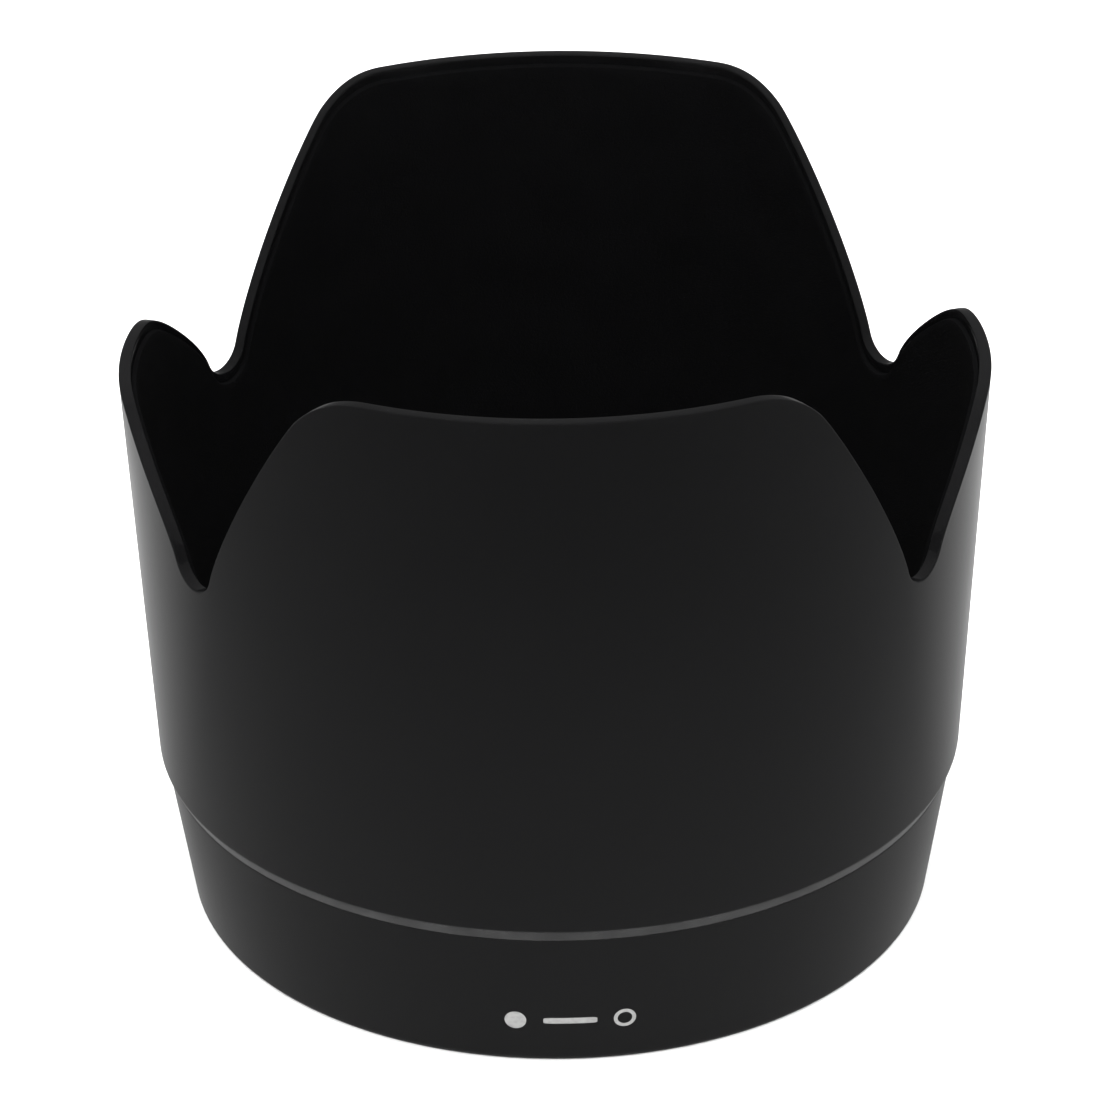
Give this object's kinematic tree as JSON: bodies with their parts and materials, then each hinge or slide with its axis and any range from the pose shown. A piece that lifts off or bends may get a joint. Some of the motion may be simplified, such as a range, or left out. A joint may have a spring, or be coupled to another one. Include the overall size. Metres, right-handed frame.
{
  "type": "lens hood",
  "caption": "Petal-shaped telephoto lens hood: tapered black barrel with tall and low petals, flocked inside, on a bayonet collar with click springs.",
  "frame": {"origin": "centre of the collar's rear face, the face that stands on a table", "axes": "+Z forward along the lens axis towards the petal tips; the two tall petals stand at -Y and +Y, the two low ones at -X and +X"},
  "size_m": [0.1016, 0.1032, 0.0854],
  "materials": {
    "barrel_plastic": "fine-grained satin black moulding",
    "collar_plastic": "fine-grained satin black moulding",
    "ring_plastic": "smooth moulded black with wear on the lugs",
    "flock": "dead matte black flock",
    "screw_steel": "black oxide",
    "spring_steel": "rolled strip"
  },
  "bodies": {
    "hood": {"petal_barrel": "barrel_plastic", "flock_lining": "flock", "mount_collar": "collar_plastic", "bayonet_ring": "ring_plastic", "screw_1": "screw_steel", "screw_2": "screw_steel", "screw_3": "screw_steel", "screw_4": "screw_steel"},
    "left_spring": {"click_spring_left": "spring_steel"},
    "right_spring": {"click_spring_right": "spring_steel"}
  },
  "joints": [
    {"name": "left_click", "type": "slide", "parent": "hood", "child": "left_spring", "axis": [-1, 0, 0], "range_m": [0, 0.0007], "stiffness_N_per_m": 3500, "springref_m": -0.0002},
    {"name": "right_click", "type": "slide", "parent": "hood", "child": "right_spring", "axis": [1, 0, 0], "range_m": [0, 0.0007], "stiffness_N_per_m": 3500, "springref_m": -0.0002}
  ]
}
